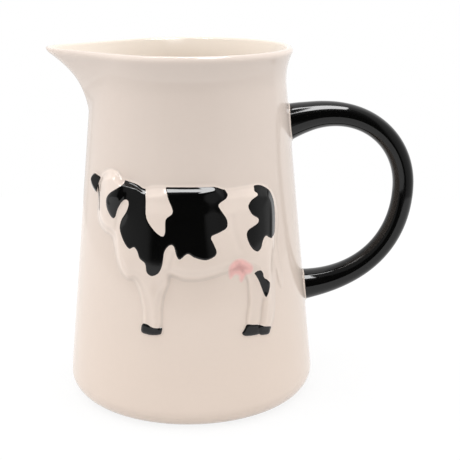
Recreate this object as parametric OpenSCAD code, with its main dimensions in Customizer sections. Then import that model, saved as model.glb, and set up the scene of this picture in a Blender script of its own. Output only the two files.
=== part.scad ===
// Earthenware jug: a tapered cast body with a flared rim and a pouring lip,
// a loop handle joined on at two clay collars, and a standing cow in relief.
// Millimetres, +Z up. The body's axis is Z and the table is z = 0.
// The lip points to -X, the handle to +X, and the cow stands on the -Y side.

/* [Body] */
// Height of the rim above the table
jug_h = 200; // [180:1:230]
// Radius that the straight wall would have at the table
base_r = 73.2; // [66:0.1:82]
// Radius of the wall at the neck, where the rim starts to flare
neck_r = 55; // [48:0.1:60]
// Radius of the rim
rim_r = 59.6; // [56:0.1:66]
// Drop from the rim to the neck
neck_drop = 21; // [14:0.5:28]
// Thickness of the wall
wall_t = 4.5; // [3.8:0.1:6]
// Rounding of the rim's two edges
rim_round = 1.8; // [0.8:0.1:1.8]
// Rounding between the wall and the foot
heel_r = 10.5; // [6:0.5:13]
// Rounding between the wall and the floor inside
floor_round = 9; // [4:0.5:14]
// Thickness of the floor
floor_t = 6; // [4:0.5:9]
// Width of the ring that the jug stands on
foot_ring_w = 7; // [4:0.5:12]
// Depth of the hollow inside the foot ring
foot_recess = 1.6; // [0.8:0.1:3]

/* [Pouring lip] */
// How far the lip's tip stands out beyond the rim
lip_reach = 21.8; // [14:0.1:28]
// Drop from the rim to where the lip leaves the wall
lip_drop = 38; // [28:1:55]
// How late the lip turns outwards, as a power of its height
lip_curve = 1.65; // [1.4:0.05:2.2]
// Outer radius of the lip's tip
lip_tip_r = 19; // [12:0.5:24]

/* [Handle] */
// Drop from the rim to the middle of the handle's upper end
upper_drop = 43.3; // [38:0.1:60]
// Height of the middle of the handle's lower end
lower_z = 58.9; // [45:0.1:75]
// Height of the handle's outermost point
grip_z = 118.8; // [105:0.1:130]
// Clear depth for the fingers, from the wall to the grip
finger_gap = 57.6; // [40:0.1:65]
// Thickness of the grip in the plane of the loop
handle_t = 11.7; // [10:0.1:18]
// Width of the grip across the loop
handle_w = 13.5; // [11:0.5:20]
// Growth of the thickness at the upper end
upper_swell = 8.8; // [0:0.1:11]
// Growth of the thickness at the lower end
lower_swell = 6.5; // [0:0.1:9]
// Distance over which most of the upper swelling fades
upper_swell_len = 20; // [12:0.5:28]
// Distance over which most of the lower swelling fades
lower_swell_len = 25; // [16:0.5:34]
// Rise of the handle where it leaves the wall, in degrees
upper_rise = 21; // [10:1:30]
// Rise of the handle away from its lower end, in degrees
lower_rise = 7; // [0:1:20]
// Length over which the upper arm keeps its direction
upper_pull = 41.5; // [30:0.5:55]
// Length over which the lower arm keeps its direction
lower_pull = 40; // [30:0.5:55]
// Length over which the grip runs straight, above and below its outermost point
grip_pull = 29.5; // [18:0.5:36]
// Thickness of the clay collars at the handle's ends
collar_t = 1; // [0.8:0.1:3]
// How far the collars stand out around the handle
collar_lip = 2; // [0.6:0.1:3]

/* [Cow] */
// Length of the cow along the wall, from its ear to its tail
cow_len = 129.5; // [115:0.5:138]
// Height of the cow's ground line
cow_z = 50; // [40:1:60]
// Relief of the cow's edge, far legs and tail above the wall
edge_relief = 1.4; // [0.8:0.1:2]
// Relief of the cow's body above the wall
body_relief = 3.6; // [2.2:0.1:4.4]
// Thickness of the raised black glaze
glaze_t = 0.4; // [0.3:0.05:0.8]
// Gap between the cow and the raised glaze on it
glaze_gap = 0.1; // [0.05:0.05:0.3]
// Relief of the hooves and the ear
hoof_relief = 2.2; // [1.6:0.1:3]
// Relief of the udder
udder_relief = 3.2; // [1.8:0.1:4.2]

/* [Hidden] */

$fn = 96;
cream = "#efe5dc";
black = "#171616";
pink = "#e6b1ab";

arc_steps = 8;
flare_steps = 8;
rim_steps = 4;
lip_steps = 14;
tip_steps = 12;
arm_steps = 18;
oval_sides = 24;
spline_steps = 3;
// Overrun of a cut beyond the face that it opens
cut_over = 2;
// How far the lip's sides run into the wall, so that the two cross
lip_bite = 0.4;
// How far the handle runs into the wall before it is cut off there
root_sink = 4;
// How far the cow's body runs down into its edge step
relief_sink = 0.3;

neck_z = jug_h - neck_drop;
slope = (base_r - neck_r) / neck_z;
tilt = atan(slope);
lip_z = jug_h - lip_drop;
upper_z = jug_h - upper_drop;
floor_z = foot_recess + floor_t;
// Length and middle height at which the cow's outlines are drawn
drawn_len = 129.5;
drawn_mid = 40;
cow_scale = cow_len / drawn_len;
// Radius at which the cow's widths are measured along the wall
cow_r = cone_r(cow_z + cow_scale * drawn_mid);

// Radius of the straight wall at height z
function cone_r(z) = base_r - slope * z;

// Radius of the wall at height z, with the rim's flare
function wall_r(z) = cone_r(z) + (z <= neck_z ? 0 :
    (rim_r - cone_r(jug_h)) * pow((z - neck_z) / neck_drop, 2));

// Inset of the rim's rounded edges at height z
function rim_inset(z) = let (up = z - jug_h + rim_round)
    up <= 0 ? 0 : rim_round - sqrt(max(0, rim_round * rim_round - up * up));

// Arc that joins a level face at height z0 to a wall line of the given radius at the table
function foot_arc(line_r, z0, round_r) =
    let (centre_r = line_r - slope * (z0 + round_r) - round_r * sqrt(1 + slope * slope))
    [for (i = [0:arc_steps]) let (a = -90 + (90 + tilt) * i / arc_steps)
        [centre_r + round_r * cos(a), z0 + round_r + round_r * sin(a)]];

flare_z = [for (i = [0:flare_steps]) neck_z + (neck_drop - rim_round) * i / flare_steps];
rim_z = [for (i = [1:rim_steps]) jug_h - rim_round + rim_round * sin(90 * i / rim_steps)];
heel_arc = foot_arc(base_r, 0, heel_r);
floor_arc = foot_arc(base_r - wall_t, floor_z, floor_round);
foot_in_r = heel_arc[0][0] - foot_ring_w;

// Closed side view of the jug without its hollow
body_line = concat(
    [[0, foot_recess], [foot_in_r - foot_recess, foot_recess], [foot_in_r, 0]],
    heel_arc,
    [for (z = concat(flare_z, rim_z)) [wall_r(z) - rim_inset(z), z]],
    [[0, jug_h]]);

// Closed side view of the hollow
hollow_line = concat(
    [[0, floor_z]],
    floor_arc,
    [for (z = concat(flare_z, rim_z)) [wall_r(z) - wall_t + rim_inset(z), z]],
    [[rim_r - wall_t + rim_round, jug_h + cut_over], [0, jug_h + cut_over]]);

// Side view of the outer wall from the heel to the rim, moved outwards
function wall_line(out) = [for (p = concat([heel_arc[arc_steps]], [for (z = flare_z) [wall_r(z), z]]))
    [p[0] + out, p[1]]];

function turned(list) = [for (i = [len(list) - 1:-1:0]) list[i]];

// Solid inside the wall, or inside a surface that far outside it
module wall_solid(out) {
    line = wall_line(out);
    rotate_extrude() polygon(concat([[0, line[0][1]]], line, [[0, line[len(line) - 1][1]]]));
}

// Skin that covers the wall from one distance to another
module wall_skin(near, far) {
    rotate_extrude() polygon(concat(wall_line(near), turned(wall_line(far))));
}

// Closed surface through rings of equally many points, each counter-clockwise seen from the next
module loft(rings) {
    n = len(rings[0]);
    last = len(rings) - 1;
    sides = [for (j = [0:last - 1], i = [0:n - 1]) let (a = j * n + i, b = j * n + (i + 1) % n)
        each [[a, a + n, b], [b, a + n, b + n]]];
    ends = [[for (i = [0:n - 1]) i], [for (i = [n - 1:-1:0]) last * n + i]];
    polyhedron([for (r = rings) each r], concat(ends, sides));
}

// Distance of the lip's outer face from the axis at height z
function lip_x(z) = wall_r(z) + lip_reach * pow((z - lip_z) / lip_drop, lip_curve);

// Level outline of the lip: a small tip circle with straight sides to the wall circle
function lip_ring(z, inset, at_z) =
    let (tip_r = lip_tip_r - inset, tip_x = lip_x(z) - lip_tip_r, side_r = wall_r(z) - inset - lip_bite)
    let (a = acos((side_r - tip_r) / tip_x))
    concat(
        [[0, 0, at_z], [-side_r * cos(a), side_r * sin(a), at_z]],
        [for (i = [0:tip_steps]) let (b = a - 2 * a * i / tip_steps)
            [-tip_x - tip_r * cos(b), tip_r * sin(b), at_z]],
        [[-side_r * cos(a), -side_r * sin(a), at_z]]);

lip_levels = concat(
    [for (i = [0:lip_steps]) lip_z + (lip_drop - rim_round) * i / lip_steps],
    rim_z);

module lip_outside() {
    loft([for (z = lip_levels) lip_ring(z, rim_inset(z), z)]);
}

module lip_hollow() {
    rings = [for (z = lip_levels) lip_ring(z, wall_t - rim_inset(z), z)];
    loft(concat(rings, [lip_ring(jug_h, wall_t - rim_round, jug_h + cut_over)]));
}

module jug_body() {
    color(cream) difference() {
        union() {
            rotate_extrude() polygon(body_line);
            lip_outside();
        }
        rotate_extrude() polygon(hollow_line);
        lip_hollow();
    }
}

// Handle's centre line in the XZ plane: two arms that meet at the grip
upper_root = [wall_r(upper_z), upper_z];
lower_root = [wall_r(lower_z), lower_z];
grip = [wall_r(grip_z) + finger_gap + handle_t / 2, grip_z];
upper_way = [cos(upper_rise), sin(upper_rise)];
lower_way = [cos(lower_rise), sin(lower_rise)];
upper_arm = [upper_root, upper_root + upper_pull * upper_way, grip + [0, grip_pull], grip];
lower_arm = [grip, grip - [0, grip_pull], lower_root + lower_pull * lower_way, lower_root];

function bezier(p, t) = pow(1 - t, 3) * p[0] + 3 * pow(1 - t, 2) * t * p[1]
    + 3 * (1 - t) * t * t * p[2] + pow(t, 3) * p[3];
function bezier_way(p, t) = let (d = pow(1 - t, 2) * (p[1] - p[0]) + 2 * (1 - t) * t * (p[2] - p[1])
    + t * t * (p[3] - p[2])) d / norm(d);

// Thickness of the grip at a point of the centre line
function grip_t(p) = handle_t + upper_swell * exp(-norm(p - upper_root) / upper_swell_len)
    + lower_swell * exp(-norm(p - lower_root) / lower_swell_len);

// Width of the grip where it has a given thickness
function grip_w(thick) = handle_w + 0.9 * (thick - handle_t);

// Oval across a direction in the XZ plane
function oval(p, way, thick, wide) = [for (i = [0:oval_sides - 1]) let (a = 360 * i / oval_sides)
    [p[0] + thick / 2 * cos(a) * way[1], wide / 2 * sin(a), p[1] - thick / 2 * cos(a) * way[0]]];

// Oval of the handle at a point of the centre line
function grip_ring(p, way) = let (thick = grip_t(p)) oval(p, way, thick, grip_w(thick));

// Oval of an end of the handle, larger all round by a margin and moved along the handle
function root_ring(root, way, margin, shift, facing) = let (thick = grip_t(root))
    oval(root + shift * way, facing, thick + 2 * margin, grip_w(thick) + 2 * margin);

module handle() {
    color(black) difference() {
        loft(concat(
            [root_ring(upper_root, upper_way, 0, -root_sink, upper_way)],
            [for (i = [0:arm_steps]) let (t = i / arm_steps)
                grip_ring(bezier(upper_arm, t), bezier_way(upper_arm, t))],
            [for (i = [1:arm_steps]) let (t = i / arm_steps)
                grip_ring(bezier(lower_arm, t), bezier_way(lower_arm, t))],
            [root_ring(lower_root, lower_way, 0, -root_sink, -lower_way)]));
        wall_solid(collar_t);
    }
}

// Ring of clay between the wall and an end of the handle
module collar(root, way) {
    reach = collar_t + collar_lip + root_sink;
    color(cream) intersection() {
        loft([for (shift = [-reach, reach]) root_ring(root, way, collar_lip, shift, way)]);
        wall_skin(0, collar_t);
    }
}

module upper_handle_collar() {
    collar(upper_root, upper_way);
}

module lower_handle_collar() {
    collar(lower_root, lower_way);
}

// The cow's outlines: each point is a distance along the wall from the front, positive towards the
// handle, and a height above the cow's ground line
figure_line = [
    [-62, 80], [-60.5, 84.5], [-56.5, 87.5], [-51, 89.3], [-46, 88.8], [-41, 86.2], [-36, 85.3],
    [-31, 84.5], [-26.5, 82.6], [-21, 83.8], [-8, 84.2], [8, 84], [19, 82], [29, 82], [40, 82.4],
    [46, 81], [51.5, 77.5], [55, 71], [55.9, 63], [54.8, 55], [53.2, 47], [54.5, 38], [56.5, 30],
    [55.5, 22], [52.5, 25], [51, 33], [49.3, 26], [48.8, 20], [48, 13], [46, 6], [43, 1], [36, 2],
    [30, 4], [29.3, 10], [30.8, 18], [31.2, 25], [30.5, 32], [26, 38], [18.5, 37.2], [12, 35.6], [4, 34],
    [-4, 34.2], [-11.2, 36.3], [-12.6, 31], [-15, 24.5], [-15.9, 17], [-16, 9.5], [-18, 5.5], [-23.5, 6],
    [-25.6, 10], [-25.7, 16], [-26.8, 22], [-28.8, 28], [-31.5, 32], [-36, 32.2], [-40, 35.5], [-43, 41],
    [-45, 47.5], [-47.5, 53.5], [-53.5, 55.2], [-58.5, 58], [-61.5, 63.5], [-61.8, 72]];
crown_line = [
    [-60.8, 79.5], [-59.2, 83.6], [-56, 86.3], [-51, 88.2], [-46.4, 87.7], [-41.4, 85.1], [-36, 84.2],
    [-31.2, 83.3], [-26.4, 81.4], [-21, 82.6], [-8, 83.1], [8, 82.9], [19, 80.9], [29, 80.9], [40, 81.3],
    [45.6, 79.8], [50.6, 76.6], [53.8, 70.6], [54.7, 63], [53.6, 55.2], [51.6, 48], [49.6, 41], [48.4, 34],
    [47.9, 26], [47.4, 19], [46.5, 12.5], [44.8, 6.5], [42.5, 2.5], [39, 3], [38.2, 9], [39.8, 16],
    [40.5, 23], [38.8, 30], [35, 36], [27, 39], [19, 38.4], [12, 36.8], [4, 35.2], [-4, 35.4],
    [-12.2, 37.4], [-13.8, 31], [-16.1, 24], [-17, 16.5], [-17, 9.5], [-18.5, 6], [-21, 6.3],
    [-22.4, 10], [-23.2, 17], [-24.9, 24], [-27, 31], [-31, 34], [-36, 33.6],
    [-39.2, 36.5], [-41.9, 41.5], [-43.9, 48], [-46.8, 54.8], [-53.2, 56.4], [-57.7, 59], [-60.3, 64],
    [-60.7, 72]];
ear_line = [
    [-67.5, 84.3], [-63.8, 84], [-60.5, 83.4], [-61.6, 81.2], [-62.8, 79], [-63.6, 76.6], [-64.4, 74.8],
    [-66.5, 75.2], [-70, 76.8], [-73, 79.6], [-71.2, 82.4]];
udder_line = [
    [20, 39.5], [22.3, 42.3], [25, 43.5], [28.5, 43], [33.5, 39.5], [34.6, 36.8], [33, 34.6], [30, 34.2],
    [28.6, 32.2], [27, 30.6], [25.9, 32], [25.6, 34.4], [23.6, 35.2], [22.2, 34.2], [21, 33.2], [20.1, 34.4]];
fore_hoof_line = [
    [-26, 9], [-26.9, 5.5], [-25.8, 3.8], [-21, 3.2], [-16.4, 4], [-15.4, 6], [-15.5, 8],
    [-18, 7.4], [-21, 7.8], [-23.4, 9]];
far_hoof_line = [
    [29, 7], [27.4, 4.7], [26, 2.6], [27.5, 0.9], [32, 0.2], [35.3, 0.2], [35.6, 3], [35.2, 5.4],
    [32.5, 6.3]];
near_hoof_line = [
    [36, 5.4], [36.2, 2.6], [36.4, -0.2], [40, -1.3], [42.8, -1.2], [43.8, 0.6], [44.4, 2.4], [40, 3.7]];
shoulder_patch = [
    [-40.3, 83], [-43.3, 80.2], [-50, 76], [-53, 72.5], [-52.8, 68.5], [-51, 65.5], [-47.5, 62.8],
    [-45, 63.8], [-43.4, 68], [-40.2, 72.8], [-37.4, 74], [-36.4, 72], [-37.7, 68], [-41, 63.2],
    [-42, 58.5], [-40.2, 53.8], [-37.5, 50], [-34.8, 48.2], [-32, 49.4], [-30, 47.4], [-28.6, 44],
    [-25.3, 41.5], [-24.3, 37], [-21.3, 35.2], [-17.3, 37.2], [-15.2, 42], [-14.3, 48.3], [-12, 51.8],
    [-9.6, 51.8], [-8, 46.5], [-6, 44.8], [-2, 47.7], [1.5, 45.8], [7.4, 44.2], [12.3, 45.8],
    [13.8, 48.5], [12.2, 53], [11, 56.5], [15, 58.2], [19.7, 60.6], [20.2, 65], [16.8, 70.5], [15.8, 73.4],
    [20.2, 76.2], [20.8, 79.4], [15, 83], [0, 83.6], [-12.8, 83.2], [-13.1, 78], [-10.2, 70],
    [-14, 66], [-14.4, 59], [-16, 57.2], [-20.4, 60.3], [-24.6, 66.2], [-25.2, 75],
    [-26.8, 81.6], [-32.5, 84.4]];
rump_patch = [
    [37.8, 80], [40.5, 82], [46, 80.2], [51, 76.8], [54, 70.3], [54, 64], [52, 57], [49.5, 51],
    [47, 51.2], [44.5, 52.7], [42.3, 50.8], [40.5, 46.8], [37.5, 45.4], [34, 48], [31.4, 53.5],
    [32, 58], [38.4, 60.8], [39.2, 63], [35.3, 65.8], [33, 70.5], [35.5, 73.8], [40, 75.9], [38, 78]];
leg_patch = [
    [35.7, 34.8], [38.6, 35.2], [41, 33.7], [41.6, 30.8], [43.8, 29], [45.6, 26.6], [44.6, 22.5],
    [42.2, 19.6], [40.3, 24], [38.6, 29.4], [37, 32.6]];

// Closed smooth curve through an outline's points
function spline(p) = let (n = len(p)) [for (i = [0:n - 1], k = [0:spline_steps - 1])
    let (a = p[(i + n - 1) % n], b = p[i], c = p[(i + 1) % n], d = p[(i + 2) % n], t = k / spline_steps)
    b + t * (c - a) / 2 + t * t * (a - 2.5 * b + 2 * c - d / 2) + t * t * t * (3 * b - 3 * c + d - a) / 2];

// Outline bent round the wall, as seen from the front
function bent(p) = [for (q = cow_scale * p) let (z = cow_z + q[1])
    [wall_r(z) * sin(q[0] / cow_r * 180 / PI), z]];

// Level shape pushed forward from the axis and kept between two distances from the wall
module relief(near, far) {
    intersection() {
        rotate([90, 0, 0]) linear_extrude(base_r + far) children();
        wall_skin(near, far);
    }
}

module smooth(line) {
    polygon(bent(spline(line)));
}

module hoof_shapes() {
    smooth(fore_hoof_line);
    smooth(far_hoof_line);
    smooth(near_hoof_line);
}

// One of the cow's outlines without the ear, the udder and the hooves
module cream_shape(line) {
    difference() {
        smooth(line);
        smooth(ear_line);
        smooth(udder_line);
        hoof_shapes();
    }
}

module cow_figure() {
    color(cream) union() {
        relief(0, edge_relief) cream_shape(figure_line);
        relief(edge_relief - relief_sink, body_relief) cream_shape(crown_line);
    }
}

module cow_ear() {
    color(black) relief(0, hoof_relief) smooth(ear_line);
}

module cow_udder() {
    color(pink) relief(0, udder_relief) smooth(udder_line);
}

module cow_hooves() {
    color(black) relief(0, hoof_relief) hoof_shapes();
}

module cow_markings() {
    color(black) for (line = [shoulder_patch, rump_patch, leg_patch])
        relief(body_relief + glaze_gap, body_relief + glaze_gap + glaze_t) intersection() {
            smooth(line);
            cream_shape(crown_line);
        }
}

jug_body();
handle();
upper_handle_collar();
lower_handle_collar();
cow_figure();
cow_ear();
cow_udder();
cow_hooves();
cow_markings();
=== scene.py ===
import math
from functools import lru_cache

import bpy
import numpy as np
from bpy.props import FloatProperty, FloatVectorProperty, PointerProperty
from bpy.types import Operator, Panel, PropertyGroup
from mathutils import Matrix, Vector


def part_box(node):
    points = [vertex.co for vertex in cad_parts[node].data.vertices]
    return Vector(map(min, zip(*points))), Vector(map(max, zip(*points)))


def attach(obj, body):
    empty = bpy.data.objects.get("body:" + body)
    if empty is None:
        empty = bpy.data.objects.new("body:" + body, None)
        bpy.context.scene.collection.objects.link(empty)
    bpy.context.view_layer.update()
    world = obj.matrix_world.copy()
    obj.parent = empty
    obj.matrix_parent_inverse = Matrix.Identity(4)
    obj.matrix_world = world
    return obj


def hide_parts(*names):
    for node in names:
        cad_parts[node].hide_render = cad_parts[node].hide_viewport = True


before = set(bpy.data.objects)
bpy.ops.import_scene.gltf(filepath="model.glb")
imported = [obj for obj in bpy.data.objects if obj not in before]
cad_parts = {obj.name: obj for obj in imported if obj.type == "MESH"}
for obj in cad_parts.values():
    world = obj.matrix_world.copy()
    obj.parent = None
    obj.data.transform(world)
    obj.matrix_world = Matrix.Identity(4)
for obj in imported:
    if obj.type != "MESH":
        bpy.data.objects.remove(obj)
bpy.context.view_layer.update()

bl_info = {
    "name": "Earthenware jug",
    "version": (1, 0, 0),
    "blender": (4, 5, 0),
    "location": "View3D > Sidebar > Jug",
    "description": "Dresses the solids of a glazed earthenware jug with a cow in relief",
    "category": "Add Mesh",
}

# The frame is in metres, +Z up: the lip points to -X, the handle to +X and the cow stands on the -Y side.
MM = 0.001
JUG_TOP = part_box("jug_body")[1].z
PHOTO_PIXELS = 460

# The cow's closed outlines, with points in millimetres: the distance along the wall from the front,
# positive towards the handle, and the height above the cow's ground line.
FIGURE_LINE = [
    (-62, 80), (-60.5, 84.5), (-56.5, 87.5), (-51, 89.3), (-46, 88.8), (-41, 86.2), (-36, 85.3),
    (-31, 84.5), (-26.5, 82.6), (-21, 83.8), (-8, 84.2), (8, 84.1), (14, 83.8), (20, 82), (29, 82),
    (40, 82.4), (46, 81), (51.5, 77.5), (55, 71), (55.9, 63), (54.8, 55), (53.2, 47), (54.5, 38), (56.5, 30),
    (55.5, 22), (52.5, 25), (51, 33), (49.3, 26), (48.8, 20), (48, 13), (46, 6), (43, 1), (36, 2),
    (30, 4), (29.3, 10), (30.8, 18), (31.2, 25), (30.5, 32), (26, 38), (18.5, 37.2), (12, 35.6), (4, 34),
    (-4, 34.2), (-11.2, 36.3), (-12.6, 31), (-15, 24.5), (-15.9, 17), (-16, 9.5), (-18, 5.5), (-23.5, 6),
    (-25.6, 10), (-25.7, 16), (-26.8, 22), (-28.8, 28), (-31.5, 32), (-36, 32.2), (-40, 35.5), (-43, 41),
    (-45, 47.5), (-47.5, 53.5), (-53.5, 55.2), (-58.5, 58), (-61.5, 63.5), (-61.8, 72)]
CROWN_LINE = [
    (-60.8, 79.5), (-59.2, 83.6), (-56, 86.3), (-51, 88.2), (-46.4, 87.7), (-41.4, 85.1), (-36, 84.2),
    (-31.2, 83.3), (-26.4, 81.4), (-21, 82.6), (-8, 83.1), (8, 83), (14, 82.7), (20, 80.9), (29, 80.9),
    (40, 81.3), (45.6, 79.8), (50.6, 76.6), (53.4, 70.6), (53.7, 63), (52.7, 55.2), (51.2, 48), (49.6, 41),
    (48.4, 34), (47.9, 26), (47.4, 19), (46.5, 12.5), (44.8, 6.5), (42.5, 2.5), (37.6, 3), (38.4, 9),
    (39.4, 16), (40.6, 23), (38.8, 30), (35, 36), (27, 39), (19, 38.4), (12, 36.8), (4, 35.2), (-4, 35.4),
    (-12.2, 37.4), (-13.8, 31), (-16.1, 24), (-17, 16.5), (-17, 9.5), (-18.5, 6), (-21, 6.3), (-22.4, 10),
    (-23.2, 17), (-24.9, 24), (-27, 31), (-31, 34), (-36, 33.6), (-39.2, 36.5), (-41.9, 41.5), (-43.9, 48),
    (-46.8, 54.8), (-53.2, 56.4), (-57.7, 59), (-60.3, 64), (-60.7, 72)]
EAR_LINE = [
    (-67.5, 84.3), (-63.8, 84), (-60.5, 83.4), (-61.6, 81.2), (-62.8, 79), (-63.6, 76.6), (-64.4, 74.8),
    (-66.5, 75.2), (-70, 76.8), (-73, 79.6), (-71.2, 82.4)]
NEAR_EAR_LINE = [
    (-40.3, 83.5), (-38, 78), (-40.2, 72.8), (-43.4, 68), (-45, 63.8), (-47.5, 62.6), (-51, 65.5),
    (-52.8, 68.5), (-53, 72.5), (-50, 76), (-43.6, 80.4)]
UDDER_LINE = [
    (20, 39.5), (22.3, 42.3), (25, 43.5), (28.5, 43), (33.5, 39.5), (34.6, 36.8), (33, 34.6), (30, 34.2),
    (28.6, 32.2), (27, 30.6), (25.9, 32), (25.6, 34.4), (23.6, 35.2), (22.2, 34.2), (21, 33.2), (20.1, 34.4)]
HOOF_LINES = [
    [(-26, 9), (-23.4, 9), (-21, 7.8), (-18, 7.4), (-15.5, 8), (-15.4, 6), (-16.4, 4), (-21, 3.2),
     (-25.8, 3.8), (-26.9, 5.5)],
    [(29, 7), (32.5, 6.3), (35.9, 5.4), (36.3, 3), (36.2, 0.2), (32, 0.2), (27.5, 0.9), (26, 2.6),
     (27.4, 4.7)],
    [(36, 5.4), (40, 3.7), (44.4, 2.4), (43.8, 0.6), (42.8, -1.2), (40, -1.3), (36.4, -0.2), (36.2, 2.6)]]
MARKING_LINES = [
    [(-40.3, 83), (-43.3, 80.2), (-50, 76), (-53, 72.5), (-52.8, 68.5), (-51, 65.5), (-47.5, 62.8),
     (-45, 63.8), (-43.4, 68), (-40.2, 72.8), (-37.4, 74), (-36.4, 72), (-37.7, 68), (-41, 63.2),
     (-42, 58.5), (-40.2, 53.8), (-37.5, 50), (-34.8, 48.2), (-32, 49.4), (-30, 47.4), (-28.6, 44),
     (-25.3, 41.5), (-24.3, 37), (-21.3, 35.2), (-17.3, 37.2), (-15.2, 42), (-14.3, 48.3), (-12, 51.8),
     (-9.6, 51.8), (-8, 46.5), (-6, 44.8), (-2, 47.7), (1.5, 45.8), (7.4, 44.2), (12.3, 45.8),
     (13.8, 48.5), (12.2, 53), (11, 56.5), (15, 58.2), (19.7, 60.6), (20.2, 65), (16.8, 70.5),
     (15.8, 73.4), (20.2, 76.2), (20.8, 79.4), (15, 85), (0, 86), (-13.2, 86), (-13.1, 78), (-10.2, 70),
     (-14, 66), (-14.4, 59), (-16, 57.2), (-20.4, 60.3), (-24.6, 66.2), (-25.2, 75),
     (-26.2, 83.5), (-32.5, 87), (-38.5, 87.5)],
    [(37.8, 80), (39, 84), (46, 83), (53, 79), (57, 71), (56.4, 63), (53.5, 55), (49.5, 51),
     (47, 51.2), (44.5, 52.7), (42.3, 50.8), (40.5, 46.8), (37.5, 45.4), (34, 48), (31.4, 53.5),
     (32, 58), (38.4, 60.8), (39.2, 63), (35.3, 65.8), (33, 70.5), (35.5, 73.8), (40, 75.9), (38, 78)],
    [(34.9, 34.2), (37, 35.3), (39.6, 35.2), (41, 33.4), (41.6, 30.8), (43.8, 29), (45.6, 26.6),
     (44.6, 22.5), (42.4, 19.4), (40.9, 20.6), (39.4, 24.4), (37.6, 29.4), (36, 32.4)]]
FACE_STROKE = [
    (-63.4, 79.4), (-62, 79), (-60.9, 76), (-59.9, 72.4), (-59, 68.6), (-59.1, 65), (-60, 65),
    (-60.6, 68.9), (-61.6, 72.8), (-62.7, 76.4)]
OUTLINES = {
    "figure": [FIGURE_LINE], "crown": [CROWN_LINE], "ear": [EAR_LINE], "near_ear": [NEAR_EAR_LINE],
    "udder": [UDDER_LINE], "hooves": HOOF_LINES, "markings": MARKING_LINES, "stroke": [FACE_STROKE]}

# Open lines of the relief: the tail's ridge, and the grooves at the elbow, the flank, the cheek and the hock.
TAIL_PATH = [
    (47.5, 79.6), (51, 76), (53, 71.4), (53.2, 64.4), (52.3, 57.5), (50.4, 51), (49.8, 44.4), (50.4, 37.7),
    (51.8, 32.5), (53, 25.7)]
ELBOW_PATH = [(-9.8, 48), (-11.4, 42), (-12.2, 36)]
FLANK_PATH = [(23.5, 66), (24.5, 57), (27.5, 48)]
CHEEK_PATH = [(-44, 62), (-45.5, 57), (-46.5, 53)]
HOCK_PATH = [(36.2, 4.7), (37.6, 9), (38.4, 14), (40, 19.5)]

# Swellings of the trunk, the shoulder, the haunch, the head, the muzzle, the hind leg, the foreleg and the
# chest, in millimetres: height, centre along the wall, centre above the ground line, half width, half height.
SWELLINGS = [
    (0.8, 0, 46, 34, 17), (0.5, -24, 44, 9, 15), (0.6, 40, 56, 9, 18), (1.9, -47, 73, 10, 9),
    (0.5, -55, 64, 5, 7), (0.4, 45, 24, 4, 6), (0.4, -20, 23, 4, 6), (0.5, -37, 40, 5, 8)]
# Grooves at the elbow, the flank and the cheek, in millimetres: depth, half width and path.
GROOVES = [(0.5, 1.3, ELBOW_PATH), (0.3, 1.8, FLANK_PATH), (0.45, 1.3, CHEEK_PATH)]

# Places and sizes of the two lights that the glaze mirrors, in metres.
TOP_LIGHT = {"place": (-0.01, -0.025, 1.2), "size": (1.10, 0.15)}
FRONT_LIGHT = {"place": (0.345, -0.555, 1.2), "size": (0.39, 0.91)}


def length(name, text, default):
    """A size in metres that the sidebar shows in the scene's units."""
    return FloatProperty(name=name, description=text, default=default, unit="LENGTH", precision=4)


def angle(name, text, degrees):
    """An angle that the sidebar shows in degrees."""
    return FloatProperty(name=name, description=text, default=math.radians(degrees), subtype="ANGLE")


def colour(name, text, default):
    """A scene-linear colour."""
    return FloatVectorProperty(name=name, description=text, default=default, subtype="COLOR", min=0, max=1)


def amount(name, text, default):
    """A plain number."""
    return FloatProperty(name=name, description=text, default=default)


class BodySettings(PropertyGroup):
    """Sizes of the cast body and its pouring lip."""
    height: length("Height", "Height of the rim above the table", JUG_TOP)
    base_r: length("Base radius", "Radius that the straight wall would have at the table", 0.07314)
    neck_r: length("Neck radius", "Radius of the wall where the rim starts to flare", 0.055)
    rim_r: length("Rim radius", "Radius of the rim", 0.0596)
    neck_drop: length("Neck drop", "Drop from the rim to the neck", 0.021)
    wall: length("Wall", "Thickness of the wall", 0.0045)
    rim_round: length("Rim rounding", "Rounding of the rim's outer edge", 0.0029)
    rim_power: amount("Rim power", "Form of that rounding: 1 is a quarter circle, more is flatter", 1.35)
    inner_round: length("Inner rounding", "Rounding of the rim's inner edge", 0.0011)
    heel_round: length("Heel rounding", "Rounding between the wall and the foot", 0.0105)
    floor_round: length("Floor rounding", "Rounding between the wall and the floor inside", 0.009)
    floor: length("Floor", "Thickness of the floor", 0.006)
    foot_ring: length("Foot ring", "Width of the ring that the jug stands on", 0.007)
    foot_recess: length("Foot recess", "Depth of the hollow inside the foot ring", 0.0016)
    lip_reach: length("Lip reach", "How far the lip's tip stands out beyond the rim", 0.0218)
    lip_drop: length("Lip drop", "Drop from the rim to where the lip leaves the wall", 0.038)
    lip_curve: amount("Lip curve", "How late the lip turns outwards, as a power of its height", 1.65)
    lip_tip: length("Lip tip", "Outer radius of the lip's tip", 0.019)


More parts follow.
